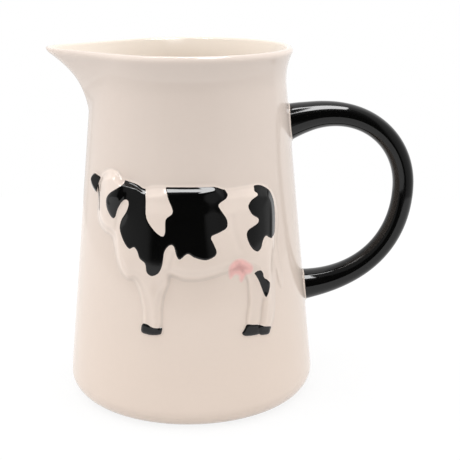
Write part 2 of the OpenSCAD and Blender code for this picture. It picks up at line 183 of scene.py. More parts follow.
class HandleSettings(PropertyGroup):
    """Sizes of the loop handle and of the clay collars at its ends."""
    upper_drop: length("Upper drop", "Drop from the rim to the middle of the upper end", 0.0433)
    lower_z: length("Lower height", "Height of the middle of the lower end", 0.0589)
    grip_z: length("Grip height", "Height of the outermost point", 0.1188)
    finger_gap: length("Finger gap", "Clear depth from the wall to the grip", 0.0576)
    thick: length("Thickness", "Thickness of the grip in the plane of the loop", 0.0117)
    wide: length("Width", "Width of the grip across the loop", 0.0135)
    full: amount("Fullness", "Power of the grip's oval section: 2 is an ellipse, more is squarer", 2.05)
    upper_swell: length("Upper swell", "Growth of the thickness at the upper end", 0.0088)
    lower_swell: length("Lower swell", "Growth of the thickness at the lower end", 0.0065)
    upper_len: length("Upper length", "Distance over which most of the upper swelling fades", 0.02)
    lower_len: length("Lower length", "Distance over which most of the lower swelling fades", 0.025)
    upper_rise: angle("Upper rise", "Rise of the handle where it leaves the wall", 21)
    lower_rise: angle("Lower rise", "Rise of the handle away from its lower end", 7)
    upper_pull: length("Upper pull", "Length over which the upper arm keeps its direction", 0.0415)
    lower_pull: length("Lower pull", "Length over which the lower arm keeps its direction", 0.04)
    grip_pull: length("Grip pull", "Length over which the grip runs straight", 0.0295)
    collar: length("Collar", "Thickness of the clay collars along the handle", 0.0008)
    collar_spread: length("Collar spread", "How far the collars run out onto the wall", 0.0044)


class CowSettings(PropertyGroup):
    """Sizes of the cow in relief and of the glaze on it."""
    ground_z: length("Ground line", "Height of the cow's ground line above the table", 0.05)
    mid_h: length("Middle", "Height above the ground line at which the cow's widths are true", 0.04)
    pitch: length("Pitch", "Spacing of the relief's grid", 0.00042)
    edge_relief: length("Edge relief", "Relief of the edge, the far legs and the tail", 0.0013)
    crown_relief: length("Crown relief", "Further relief of the trunk, the head and the near legs", 0.0028)
    glaze_lift: length("Glaze lift", "How far the coloured glaze stands up from the clay", 0.00012)
    rise: amount("Rise", "Height that the relief gains for each unit that it comes forwards", 0.32)


class GlazeSettings(PropertyGroup):
    """Colours of the glazes and of the bare clay."""
    cream: colour("Cream glaze", "Colour of the cream glaze", (0.81, 0.70, 0.625))
    black: colour("Black glaze", "Colour of the black glaze", (0.002, 0.002, 0.0019))
    pink: colour("Pink glaze", "Colour of the pink on the udder", (0.86, 0.50, 0.46))
    deep_pink: colour("Deep pink", "Colour of the pink in the udder's middle", (0.68, 0.36, 0.335))
    clay: colour("Clay", "Colour of the bare fired clay of the foot", (0.62, 0.47, 0.34))
    warm: colour("Warm cream", "Colour of the cream glaze low on the jug, where it ran thicker",
                 (0.785, 0.66, 0.57))
    # The inner cream is paler than the outer: painted light inside the jug, for the light that falls in at
    # the mouth.
    inner: colour("Inner cream", "Colour of the cream glaze inside the jug, where it is thickest",
                  (0.88, 0.785, 0.685))
    speck: colour("Specks", "Colour of the iron specks in the cream glaze", (0.23, 0.13, 0.07))


class StageSettings(PropertyGroup):
    """The floor, the light and the camera."""
    floor_r: length("Floor radius", "Radius of the round floor", 0.5)
    card_r: length("Card radius", "Distance of the grey card that curves round the front", 1.4)
    camera_x: length("Camera X", "Place of the camera along X", -0.0028)
    camera_y: length("Camera Y", "Place of the camera along Y", -0.565)
    camera_z: length("Camera Z", "Height of the camera", 0.2543)
    camera_pitch: FloatProperty(name="Camera pitch", description="Downward tilt of the camera",
                                default=0.278, subtype="ANGLE")
    camera_yaw: FloatProperty(name="Camera yaw", description="Turn of the camera towards the handle",
                              default=0.046, subtype="ANGLE")
    focal_pixels: amount("Focal length", "Focal length in pixels of the photograph", 1000.0)
    front_level: amount("Front level", "Light that comes from the front and the back", 0.04)
    side_level: amount("Side level", "Further light that comes from the two sides", 0.94)
    top_level: amount("Top level", "Further light that comes from straight above", 1.62)
    top_watts: amount("Top light", "Watts of the strip of light above the jug, seen only in reflections", 7.8)
    front_watts: amount("Front light", "Watts of the light above the camera, seen only in reflections", 19.0)


def settings():
    """The add-on's settings on the current scene."""
    return bpy.context.scene.jug_settings


def smooth_rise(t):
    """0 below t = 0, 1 above t = 1, and 3t^2 - 2t^3 between."""
    t = np.clip(t, 0.0, 1.0)
    return t * t * (3.0 - 2.0 * t)


def make_piece(name, points, faces, material, nodes):
    """Puts points and faces into a smooth mesh that rides on the jug and stands for the named CAD nodes."""
    mesh = bpy.data.meshes.new(name)
    corners = faces.shape[1]
    mesh.vertices.add(len(points))
    mesh.vertices.foreach_set("co", np.ascontiguousarray(points, np.float32).ravel())
    mesh.loops.add(faces.size)
    mesh.loops.foreach_set("vertex_index", np.ascontiguousarray(faces, np.int32).ravel())
    mesh.polygons.add(len(faces))
    mesh.polygons.foreach_set("loop_start", np.arange(0, faces.size, corners, dtype=np.int32))
    mesh.polygons.foreach_set("use_smooth", np.ones(len(faces), bool))
    mesh.update(calc_edges=True)
    if mesh.validate():
        raise RuntimeError(f"the mesh of {name} had bad faces")
    mesh.materials.append(material)
    piece = bpy.data.objects.new(name, mesh)
    bpy.context.scene.collection.objects.link(piece)
    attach(piece, "root")
    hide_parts(*nodes)
    return piece


def set_attribute(piece, name, values):
    """Stores one number per vertex for the material to read."""
    numbers = piece.data.attributes.new(name, "FLOAT", "POINT")
    numbers.data.foreach_set("value", np.ascontiguousarray(values, np.float32))


def ring_faces(rows, columns, closed_rows=False):
    """Triangles of a grid whose columns close on themselves, and whose rows may too."""
    row = np.arange(rows if closed_rows else rows - 1)[:, None]
    column = np.arange(columns)[None, :]
    beside = (column + 1) % columns
    above = (row + 1) % rows
    a = row * columns + column
    b = row * columns + beside
    c = above * columns + beside
    d = above * columns + column
    return np.concatenate([np.stack([a, b, c], -1).reshape(-1, 3), np.stack([a, c, d], -1).reshape(-1, 3)])


def close_ends(faces, rows, columns, first_pole, last_pole):
    """Adds fans from two pole vertices to the first and the last row of a ring grid."""
    column = np.arange(columns)
    beside = (column + 1) % columns
    last = (rows - 1) * columns
    first_fan = np.stack([np.full(columns, first_pole), beside, column], -1)
    last_fan = np.stack([np.full(columns, last_pole), last + column, last + beside], -1)
    return np.concatenate([faces, first_fan, last_fan])


def wall_slope(body):
    """Fall of the straight wall's radius per unit of height."""
    return (body.base_r - body.neck_r) / (body.height - body.neck_drop)


def wall_radius(body, z):
    """Wall radius at height z: a straight cone, plus a flare that grows as the square above the neck."""
    cone = body.base_r - wall_slope(body) * z
    cone_top = body.base_r - wall_slope(body) * body.height
    above = np.clip((z - body.height + body.neck_drop) / body.neck_drop, 0.0, None)
    return cone + (body.rim_r - cone_top) * above ** 2


def lip_radius(body, z, inset, turn):
    """Radius of the body's level outline at an angle from the lip.

    The outline is the wall's circle and the lip's small tip circle, joined by their common tangents:
    R outside the tangent point at angle a, R / cos(a - turn) along the straight side, and
    c cos(turn) + sqrt(t^2 - c^2 sin^2(turn)) round the tip.
    """
    wall = wall_radius(body, z)
    rise = np.clip((z - body.height + body.lip_drop) / body.lip_drop, 0.0, None)
    tip_r = body.lip_tip - inset
    tip_x = wall + body.lip_reach * rise ** body.lip_curve - body.lip_tip
    side_r = wall - inset
    tangent = np.arccos(np.clip((side_r - tip_r) / tip_x, -1.0, 1.0))
    tip_turn = np.arctan2(tip_r * np.sin(tangent), tip_x + tip_r * np.cos(tangent))
    straight = side_r / np.cos(np.clip(tangent - turn, 0.0, None))
    across = np.sqrt(np.clip(tip_r ** 2 - (tip_x * np.sin(turn)) ** 2, 0.0, None))
    tip = tip_x * np.cos(turn) + across
    return np.where(turn < tip_turn, tip, np.where(turn < tangent, straight, side_r))


def foot_arc(body, line_r, level, round_r, steps):
    """Radius and height along the arc that joins a level face to a wall line."""
    slope = wall_slope(body)
    tilt = math.atan(slope)
    centre = line_r - slope * (level + round_r) - round_r * math.sqrt(1 + slope ** 2)
    around = np.linspace(-math.pi / 2, tilt, steps)
    return centre + round_r * np.cos(around), level + round_r + round_r * np.sin(around)


def body_surface(body):
    """Points of the whole body as rows from the foot's centre, up the outside, over the rim and down inside.

    Each row has a height. A row of the foot or the floor has its own radius, and a row of the wall has an
    inset from the outer outline, which moves it towards the axis. Columns are angles from the lip, closest
    together at its tip. The poles, the rows that lie inside, and the rim's paler outer rounding, partly the
    glaze running thin there and partly a painted highlight, come with the points.
    """
    top = body.height
    neck_z = top - body.neck_drop
    dense_z = neck_z - 20 * MM
    edge_z = top - body.rim_round
    floor_z = body.foot_recess + body.floor
    heel_r, heel_z = foot_arc(body, body.base_r, 0.0, body.heel_round, 14)
    floor_r, inner_z = foot_arc(body, body.base_r - body.wall, floor_z, body.floor_round, 12)
    ring_in = heel_r[0] - body.foot_ring
    recess_r = np.array([0.3, 0.6, 0.85]) * (ring_in - body.foot_recess)
    step_r = ring_in + np.array([-0.96, -0.66, -0.3, -0.09, 0.09, 0.3]) * body.foot_recess
    under_r = np.concatenate([recess_r, step_r, [ring_in + 0.5 * body.foot_ring]])
    lift = np.array([1, 1, 1, 1, 0.93, 0.6, 0.3, 0.08, 0, 0]) * body.foot_recess
    outer_z = np.concatenate([np.linspace(heel_z[-1], dense_z, 34)[1:], np.linspace(dense_z, edge_z, 34)[1:]])
    bend = np.linspace(0.0, math.pi / 2, 13)[1:]
    rim_z = edge_z + body.rim_round * np.sin(bend) ** body.rim_power
    rim_inset = body.rim_round * (1.0 - np.cos(bend) ** body.rim_power)
    flat_inset = np.linspace(body.rim_round, body.wall - body.inner_round, 4)[1:-1]
    back_z = top - body.inner_round
    inside_z = np.concatenate([np.linspace(back_z, dense_z, 30)[1:],
                               np.linspace(dense_z, inner_z[-1], 24)[1:-1]])
    z = np.concatenate([outer_z, rim_z, np.full(2, top), back_z + body.inner_round * np.sin(bend[::-1]),
                        [back_z], inside_z])
    inset = np.concatenate([np.zeros(len(outer_z)), rim_inset, flat_inset,
                            body.wall - body.inner_round * (1.0 - np.cos(bend[::-1])),
                            np.full(1 + len(inside_z), body.wall)])
    half = np.concatenate([np.linspace(0.0, 14.0, 42)[:-1], np.linspace(14.0, 54.0, 70)[:-1],
                           np.linspace(54.0, 180.0, 94)])
    turn = np.radians(np.concatenate([half, -half[-2:0:-1]]))[None, :]
    wall_r = lip_radius(body, z[:, None], inset[:, None], np.abs(turn))
    below = np.concatenate([under_r, heel_r])
    within = np.concatenate([floor_r[::-1], floor_r[0] * np.array([0.8, 0.55, 0.3, 0.1])])
    radius = np.concatenate([below[:, None] + 0 * turn, wall_r, within[:, None] + 0 * turn])
    height = np.concatenate([lift, heel_z, z, inner_z[::-1], np.full(4, floor_z)])
    points = np.stack([-radius * np.cos(turn), -radius * np.sin(turn), height[:, None] + 0 * turn], -1)
    poles = np.array([[0, 0, body.foot_recess], [0, 0, floor_z]])
    inside = np.arange(len(points)) >= len(below) + len(outer_z) + len(bend) + 2
    # Paler band round the rim's outer rounding: partly the glaze running thin there, partly a painted
    # highlight.
    half_rim = 0.5 * body.rim_round
    crest_glaze_and_shade = 0.5 * np.exp(-((height - top + half_rim) / half_rim) ** 2) * ~inside
    return points, poles, inside, crest_glaze_and_shade


def build_body():
    """The cast body as one closed skin, outside and inside."""
    points, poles, inside, crest_glaze_and_shade = body_surface(settings().body)
    rows, columns = points.shape[:2]
    faces = close_ends(ring_faces(rows, columns), rows, columns, rows * columns, rows * columns + 1)
    flat = np.concatenate([points.reshape(-1, 3), poles])
    piece = make_piece("jug_shell", flat, faces, cream_glaze(), ["jug_body"])
    set_attribute(piece, "inside", np.concatenate([np.repeat(inside, columns), [0, 1]]))
    set_attribute(piece, "crest_glaze_and_shade_mm", np.concatenate([np.repeat(crest_glaze_and_shade, columns), [0, 0]]))
    return piece


def handle_ends(body, handle):
    """Places and directions of the handle's two ends in the XZ plane."""
    upper_z = body.height - handle.upper_drop
    upper = np.array([wall_radius(body, upper_z), upper_z])
    lower = np.array([wall_radius(body, handle.lower_z), handle.lower_z])
    upper_way = np.array([math.cos(handle.upper_rise), math.sin(handle.upper_rise)])
    lower_way = np.array([math.cos(handle.lower_rise), math.sin(handle.lower_rise)])
    return upper, upper_way, lower, lower_way


def bezier(a, b, c, d, t):
    """Points and unit directions along a cubic curve with the given corner points."""
    t = t[:, None]
    place = (1 - t) ** 3 * a + 3 * (1 - t) ** 2 * t * b + 3 * (1 - t) * t ** 2 * c + t ** 3 * d
    way = (1 - t) ** 2 * (b - a) + 2 * (1 - t) * t * (c - b) + t ** 2 * (d - c)
    return place, way / np.linalg.norm(way, axis=1, keepdims=True)


def grip_thickness(handle, place, upper, lower):
    """Thickness of the grip: t + u exp(-a / A) + l exp(-b / B) at distances a and b from the two ends."""
    to_upper = np.linalg.norm(place - upper, axis=-1) / handle.upper_len
    to_lower = np.linalg.norm(place - lower, axis=-1) / handle.lower_len
    return handle.thick + handle.upper_swell * np.exp(-to_upper) + handle.lower_swell * np.exp(-to_lower)


def grip_width(handle, thick):
    """Width of the grip, which grows by 0.9 of what its thickness grows by."""
    return handle.wide + 0.9 * (thick - handle.thick)


def oval(place, way, thick, wide, around):
    """Full ovals across directions in the XZ plane: half the thickness in the plane, half the width along Y.

    The section is the curve |u|^n + |v|^n = 1, with u and v as powers 2 / n of a cosine and a sine.
    """
    power = 2 / settings().handle.full
    thick = np.asarray(thick)[..., None] / 2
    wide = np.asarray(wide)[..., None] / 2
    across = thick * np.sign(np.cos(around)) * np.abs(np.cos(around)) ** power
    x = place[..., :1] + across * way[..., 1:]
    z = place[..., 1:] - across * way[..., :1]
    return np.stack([x, wide * np.sign(np.sin(around)) * np.abs(np.sin(around)) ** power + 0 * x, z], -1)


def build_handle():
    """The loop handle: an oval carried along two cubic arms that meet at the grip.

    Towards each end the ovals are drawn along the arm, so that the last one lies just inside the round wall.
    """
    body = settings().body
    handle = settings().handle
    upper, upper_way, lower, lower_way = handle_ends(body, handle)
    grip = np.array([wall_radius(body, handle.grip_z) + handle.finger_gap + handle.thick / 2, handle.grip_z])
    pull = np.array([0.0, handle.grip_pull])
    t = np.linspace(0.0, 1.0, 70)
    first, first_way = bezier(upper, upper + handle.upper_pull * upper_way, grip + pull, grip, t)
    second, second_way = bezier(grip, grip - pull, lower + handle.lower_pull * lower_way, lower, t)
    place = np.concatenate([first, second[1:]])
    way = np.concatenate([first_way, second_way[1:]])
    thick = grip_thickness(handle, place, upper, lower)
    around = np.linspace(0.0, 2 * math.pi, 72, endpoint=False)
    rings = oval(place, way, thick, grip_width(handle, thick), around)
    sunk = 0.8 * MM
    drawn = 14 * MM
    poles = []
    for end, end_way, row in ((upper, upper_way, 0), (lower, lower_way, -1)):
        fade = 1 - smooth_rise(np.linalg.norm(place - end, axis=1) / drawn)
        shift = fade[:, None] * (onto_wall(body, rings[row], end_way) - sunk)
        rings[..., 0] += shift * end_way[0]
        rings[..., 2] += shift * end_way[1]
        poles.append([end[0] - sunk, 0, end[1]])
    rows, columns = rings.shape[:2]
    faces = close_ends(ring_faces(rows, columns), rows, columns, rows * columns, rows * columns + 1)
    points = np.concatenate([rings.reshape(-1, 3), poles])
    piece = make_piece("handle_loop", points, faces, black_glaze(), ["handle"])
    piece.data.set_sharp_from_angle(angle=math.radians(60))
    return piece


def onto_wall(body, points, way):
    """How far points must move along a direction in the XZ plane to reach the wall, by repeated steps."""
    shift = np.zeros(points.shape[:-1])
    for _ in range(4):
        x = points[..., 0] + shift * way[0]
        z = points[..., 2] + shift * way[1]
        shift = shift + (np.sqrt(wall_radius(body, z) ** 2 - points[..., 1] ** 2) - x) / way[0]
    return shift


def collar_surface(body, handle, place, way, thick):
    """A ring of clay whose section is a closed loop: a hollow fillet from the handle down to the wall.

    For each angle round the oval, the section's points have a height above the wall, measured along the
    handle, and a margin outside the handle. The height grows as the square of the way in from the spread,
    and its top edge is a small half-round roll.
    """
    around = np.linspace(0.0, 2 * math.pi, 96, endpoint=False)[None, :]
    inward = np.linspace(0.0, 1.0, 14)
    roll = 0.45 * MM
    bend = np.linspace(0.0, math.pi, 7)[1:]
    under = 0.9 * MM
    fillet_up = (handle.collar - roll) * inward ** 2
    fillet_out = roll + (handle.collar_spread - roll) * (1 - inward)
    up = np.concatenate([[-under, -under], fillet_up, handle.collar - roll + roll * np.sin(bend)])
    out = np.concatenate([[-under, handle.collar_spread], fillet_out, roll * np.cos(bend)])
    rings = oval(np.broadcast_to(place, (len(out), 2)), np.broadcast_to(way, (len(out), 2)),
                 thick + 2 * out, grip_width(handle, thick) + 2 * out, around)
    shift = onto_wall(body, rings, way) + up[:, None]
    rings[..., 0] += shift * way[0]
    rings[..., 2] += shift * way[1]
    return rings


def build_collars():
    """The two clay collars, one at each end of the handle."""
    body = settings().body
    handle = settings().handle
    upper, upper_way, lower, lower_way = handle_ends(body, handle)
    for name, place, way in (("upper_collar", upper, upper_way), ("lower_collar", lower, lower_way)):
        thick = float(grip_thickness(handle, place, upper, lower))
        rings = collar_surface(body, handle, place, way, thick)
        rows, columns = rings.shape[:2]
        faces = ring_faces(rows, columns, closed_rows=True)[:, ::-1]
        node = name.replace("_collar", "_handle_collar")
        piece = make_piece(name, rings.reshape(-1, 3), faces, cream_glaze(), [node])
        piece.data.set_sharp_from_angle(angle=math.radians(70))


def spline(line, closed=True, steps=5):
    """Smooth curve through an outline's points: a Catmull-Rom curve sampled in whole arrays."""
    points = np.array(line, float)
    if closed:
        a, b, c, d = (np.roll(points, 1 - k, axis=0)[:, None, :] for k in range(4))
    else:
        ends = np.concatenate([points[:1], points, points[-1:]])
        a, b, c, d = (ends[k:len(ends) - 3 + k, None, :] for k in range(4))
    t = (np.arange(steps) / steps)[None, :, None]
    bow = t ** 2 * (a - 2.5 * b + 2 * c - d / 2)
    curve = b + t * (c - a) / 2 + bow + t ** 3 * (3 * b - 3 * c + d - a) / 2
    return curve.reshape(-1, 2)


def distance_to(points, s, h, closed=True):
    """Distance in millimetres from each grid point to a chain of segments, negative inside a closed one."""
    nearest = np.full(s.shape, np.inf)
    inside = np.zeros(s.shape, bool)
    ends = np.roll(points, -1, axis=0) if closed else points[1:]
    for (s0, h0), (s1, h1) in zip(points, ends):
        along_s, along_h = s1 - s0, h1 - h0
        share = np.clip(((s - s0) * along_s + (h - h0) * along_h) / (along_s ** 2 + along_h ** 2), 0.0, 1.0)
        gap = (s - s0 - share * along_s) ** 2 + (h - h0 - share * along_h) ** 2
        nearest = np.minimum(nearest, gap)
        if closed and h0 != h1:
            crossing = ((h0 > h) != (h1 > h)) & (s < along_s * (h - h0) / along_h + s0)
            inside ^= crossing
    return np.sqrt(nearest) * np.where(inside, -1.0, 1.0)


def bell(s, h, centre_s, centre_h, wide, tall):
    """A round swelling of height 1."""
    return np.exp(-((s - centre_s) / wide) ** 2 - ((h - centre_h) / tall) ** 2)


def ridge(path, half_width, s, h):
    """A rounded ridge of height 1 along an open path: exp(-(d / w)^2) at the distance d from it."""
    return np.exp(-(distance_to(spline(path, closed=False), s, h, closed=False) / half_width) ** 2)


def across_edge(distance, outside, inside):
    """0 well outside an outline, 1 well inside it, and a smooth rise across its edge."""
    return smooth_rise((outside - distance) / (outside + inside))


def tail_end(s):
    """0 on the cow's trunk, rising to 1 at its tail."""
    return smooth_rise((s - 43.0) / 8.0)


def head_end(s):
    """0 on the cow's neck, rising to 1 at its face."""
    return smooth_rise((-s - 52.0) / 9.0)


def blurred(field, sigma):
    """The field smoothed with a bell curve of sigma grid steps, along both directions."""
    reach = np.arange(-8, 9)
    weights = np.exp(-0.5 * (reach / sigma) ** 2)
    weights /= weights.sum()
    for axis in (0, 1):
        field = sum(weight * np.roll(field, step, axis) for weight, step in zip(weights, reach))
    return field


def cow_relief(s, h, away):
    """Height of the cow above the wall, from the distance to each outline.

    A low edge lies inside the figure's outline. On it sits the crown, which climbs a straight slope inwards
    from its own outline and is lower towards the feet. Swellings, grooves and smaller parts come on top.
    All lengths are in millimetres.
    """
    cow = settings().cow
    tail_side = tail_end(s)
    head_side = head_end(s)
    back = smooth_rise((h - 68.0) / 8.0)
    poll = smooth_rise((-s - 39.0) / 6.0) * (1 - head_side) * back
    # The edge is thinner along the back and down the tail.
    thinned = 0.9 * np.maximum(back * (1 - poll), tail_side)
    relief = (cow.edge_relief / MM - thinned) * across_edge(away["figure"], 0.3, 0.7)
    # The crown's share of its full height, less over the loin.
    loin = smooth_rise((s - 4.0) / 12.0) * (1 - smooth_rise((s - 26.0) / 14.0))
    share = (0.4 + 0.6 * smooth_rise((h - 36.0) / 44.0)) * (1 - 0.4 * loin)
    share = np.maximum(share, tail_side * smooth_rise((h - 44.0) / 8.0))
    # The slope's start and its width, wider on the rump, the withers and the poll.
    start = -0.3 + 0.2 * poll + 0.9 * smooth_rise((60.0 - h) / 20.0) * (1 - tail_side)
    rump = 2.6 * smooth_rise((s - 14.0) / 5.0) * (1 - tail_side)
    withers = 1.6 * np.exp(-((s + 20.5) / 5.0) ** 4)
    width = 3.22 * share * (1 - 0.6 * head_side) + rump + withers + 1.2 * poll
    climb = np.clip((start - away["crown"]) / width, 0.0, 1.0)
    relief += cow.crown_relief / MM * (1 - 0.3 * head_side) * (1 + 0.2 * poll) * share * climb
    relief += 0.14 * tail_side * np.clip(-away["crown"] - 3.5, 0.0, 1.0)
    form = sum(height * bell(s, h, *place) for height, *place in SWELLINGS)
    form = form - sum(depth * ridge(path, half, s, h) for depth, half, path in GROOVES)
    relief += form * across_edge(away["crown"], 0.0, 4.0)
    # The tail's ridge, the near ear, the far ear, the hock's groove, the udder and the hooves.
    relief += 0.3 * ridge(TAIL_PATH, 1.5, s, h) * across_edge(away["figure"], 0.5, 1.5)
    relief += 0.7 * across_edge(away["near_ear"], 0.3, 1.6) * smooth_rise((81.0 - h) / 6.0)
    ear = 0.6 + 0.13 * np.clip(-60.0 - s, 0.0, 14.0)
    relief = np.maximum(relief, ear * across_edge(away["ear"], 0.4, 0.5))
    relief -= 0.5 * ridge(HOCK_PATH, 0.8, s, h)
    relief += 0.6 * across_edge(away["udder"], 0.5, 2.6)
    relief = np.maximum(relief, (1.0 + 0.08 * h) * across_edge(away["hooves"], 0.3, 0.8))
    return blurred(relief, 1.0)


@lru_cache(maxsize=1)
def cow_fields():
    """The cow as fields on one grid of the wall, in millimetres.

    They are the places along the wall and above the ground line, the relief, its shading field, and for each
    piece the distance to its outline, negative inside. The shading field is how far the relief stands above
    what is around, plus painted light that makes the cream paler high on the cow and darker at its feet.
    """
    pitch = settings().cow.pitch / MM
    s, h = np.meshgrid(np.arange(-76.0, 60.0, pitch), np.arange(-5.0, 93.0, pitch))
    away = {name: np.minimum.reduce([distance_to(spline(line), s, h) for line in lines])
            for name, lines in OUTLINES.items()}
    relief = cow_relief(s, h, away)
    # The relief runs out onto the wall by these margins round its parts.
    margins = {"figure": 1.4, "ear": 1.4, "udder": 1.2, "hooves": 1.2}
    edge = np.minimum.reduce([away[name] - margin for name, margin in margins.items()])
    # Above the legs the black patches end with the crown.
    beyond = away["crown"] - 0.35 + 0.4 * tail_end(s) - 3.0 * smooth_rise((44.0 - h) / 6.0)
    painted = np.minimum(np.maximum(away["markings"], beyond), away["stroke"] - 0.12)
    # Painted light: the shading field also makes the cream paler high on the cow and darker at its feet, as
    # from light above, except on the face.
    face = head_end(s) * smooth_rise((82.0 - h) / 8.0)
    pale = (0.43 * smooth_rise((h - 20.0) / 50.0) - 0.14) * (1 - face)
    # Ridges of the relief come out paler and hollows darker: partly the glaze running thin and pooling,
    # partly painted highlight and painted shade.
    crest_glaze_and_shade = relief - blurred(relief, 2.6) + pale * across_edge(away["figure"], 0.2, 0.6)
    return {"s": s, "h": h, "relief": relief, "crest_glaze_and_shade": crest_glaze_and_shade, "figure": edge, "ear": away["ear"] - 0.3,
            "udder": away["udder"] - 0.5, "hooves": away["hooves"] - 0.2, "markings": painted}


# Polygons of a grid cell cut by an outline, for each of the 15 patterns of corners inside it. Corners 0 to 3
# run round the cell, and 4 to 7 are the cuts on its lower, right, upper and left sides.
CELL_CUTS = {
    1: [(0, 4, 7)], 2: [(1, 5, 4)], 3: [(0, 1, 5, 7)], 4: [(2, 6, 5)], 5: [(0, 4, 7), (2, 6, 5)],
    6: [(1, 2, 6, 4)], 7: [(0, 1, 2, 6, 7)], 8: [(3, 7, 6)], 9: [(0, 4, 6, 3)], 10: [(1, 5, 4), (3, 7, 6)],
    11: [(0, 1, 5, 6, 3)], 12: [(2, 3, 7, 5)], 13: [(0, 4, 5, 2, 3)], 14: [(1, 2, 3, 7, 4)],
    15: [(0, 1, 2, 3)]}


def cut_sheet(field, pitch):
    """The part of the grid where a field is negative, as triangles that end exactly on its zero line.

    Returns for each vertex the two grid points that it lies between, its share of the way from the first to
    the second, and the triangles. A grid point itself has a share of 0.
    """
    least = 0.15 * pitch
    field = np.where(np.abs(field) < least, np.where(field < 0, -least, least), field)
    rows, columns = field.shape
    flat = field.ravel()
    index = np.arange(rows * columns).reshape(rows, columns)
    along_a, along_b = index[:, :-1].ravel(), index[:, 1:].ravel()
    up_a, up_b = index[:-1].ravel(), index[1:].ravel()
    a = np.concatenate([index.ravel(), along_a, up_a])
    b = np.concatenate([index.ravel(), along_b, up_b])
    with np.errstate(divide="ignore", invalid="ignore"):
        share = np.where(a == b, 0.0, flat[a] / (flat[a] - flat[b]))
    along = rows * columns + np.arange(len(along_a)).reshape(rows, columns - 1)
    up = rows * columns + len(along_a) + np.arange(len(up_a)).reshape(rows - 1, columns)
    cell = np.stack([index[:-1, :-1], index[:-1, 1:], index[1:, 1:], index[1:, :-1],
                     along[:-1], up[:, 1:], along[1:], up[:, :-1]], -1).reshape(-1, 8)
    pattern = ((flat[cell[:, :4]] < 0) * np.array([1, 2, 4, 8])).sum(axis=1)
    triangles = []
    for case, polygons in CELL_CUTS.items():
        cells = cell[pattern == case]
        for polygon in polygons:
            for k in range(1, len(polygon) - 1):
                triangles.append(cells[:, [polygon[0], polygon[k], polygon[k + 1]]])
    triangles = np.concatenate(triangles)
    used, triangles = np.unique(triangles, return_inverse=True)
    return a[used], b[used], share[used], triangles.reshape(-1, 3)


def wall_points(s, h, out):
    """Places at a distance out from the wall, for lengths along the wall and heights, all in millimetres.

    A point of the wall at the angle s / r comes straight forwards and a little upwards, towards the camera,
    so it keeps its x, gains the height rise * out / cos(angle), and ends on the radius r + out.
    """
    body = settings().body
    cow = settings().cow
    true_r = float(wall_radius(body, cow.ground_z + cow.mid_h))
    turn = s * MM / true_r
    z = cow.ground_z + h * MM
    x = wall_radius(body, z) * np.sin(turn)
    z = z + cow.rise * np.clip(out, 0.0, None) * MM / np.cos(turn)
    y = -np.sqrt((wall_radius(body, z) + out * MM) ** 2 - x ** 2)
    return np.stack([x, y, z], -1)


def build_sheet(name, field_name, front, back, material, node):
    """A closed thin piece over one of the cow's outlines.

    front gives the seen face's distance from the wall, from the relief's height and the distance inside the
    outline, and back gives the hidden face's, from the relief alone. The faces share the outline's own
    vertices, which lie a little under the surface around them. The materials read the distance inside and
    the shading field, which carries painted highlights and painted shade along with the glaze's thinning.
    """
    fields = cow_fields()
    a, b, share, triangles = cut_sheet(fields[field_name], settings().cow.pitch / MM)

    def at(field):
        """A field's values at the sheet's vertices."""
        flat = fields[field].ravel()
        return flat[a] + share * (flat[b] - flat[a])

    s, h, relief = at("s"), at("h"), at("relief")
    inside = np.clip(-at(field_name), 0.0, None)
    inner = np.flatnonzero(share <= 0)
    front_points = wall_points(s, h, front(relief, inside))
    back_points = wall_points(s[inner], h[inner], back(relief[inner]))
    twin = np.arange(len(s))
    twin[inner] = len(s) + np.arange(len(inner))
    faces = np.concatenate([triangles, twin[triangles][:, ::-1]])
    points = np.concatenate([front_points, back_points])
    piece = make_piece(name, points, faces, material, [node])
    piece.data.set_sharp_from_angle(angle=math.radians(75))
    set_attribute(piece, "edge_mm", np.concatenate([inside, inside[inner]]))
    # The shading field: painted highlights on ridges, painted shade in hollows and painted light from above,
    # partly also thin and pooled glaze.
    crest_glaze_and_shade = at("crest_glaze_and_shade")
    set_attribute(piece, "crest_glaze_and_shade_mm", np.concatenate([crest_glaze_and_shade, crest_glaze_and_shade[inner]]))
    return piece


def clay_front(relief, inside):
    """The bare relief, which dips just under the wall at its own edge."""
    lift = 0.02
    dip = 0.06
    slope = 0.6
    return relief + lift - dip * (1 - smooth_rise(inside / slope))


def glaze_front(relief, inside):
    """Glaze that stands up from the relief and slopes down to just under it at its edge."""
    lift = settings().cow.glaze_lift / MM
    dip = 0.03
    slope = 0.7
    return relief - dip + (lift + dip) * smooth_rise(inside / slope)


def under_relief(relief):
    """The hidden back of a glaze piece, just under the relief."""
    return relief - 0.25


def in_wall(relief):
    """The hidden back of the relief, inside the wall."""
    return np.full_like(relief, -0.8)


def build_cow():
    """The cow's relief in cream."""
    return build_sheet("cow_relief", "figure", clay_front, in_wall, cream_glaze(),
                       "cow_figure")


def build_black(name, field_name, node):
    """One group of black pieces on the cow."""
    return build_sheet(name, field_name, glaze_front, under_relief, black_glaze(), node)


def build_udder():
    """The pink udder."""
    return build_sheet("cow_udder_pink", "udder", glaze_front, under_relief, pink_glaze(),
                       "cow_udder")


def new_group(name, inputs, outputs):
    """A shader node group with named sockets, and the nodes for its inputs and outputs."""
    group = bpy.data.node_groups.new(name, "ShaderNodeTree")
    for socket, kind, default in inputs:
        item = group.interface.new_socket(socket, in_out="INPUT", socket_type=kind)
        item.default_value = default
    for socket, kind in outputs:
        group.interface.new_socket(socket, in_out="OUTPUT", socket_type=kind)
    return group, group.nodes.new("NodeGroupInput"), group.nodes.new("NodeGroupOutput")


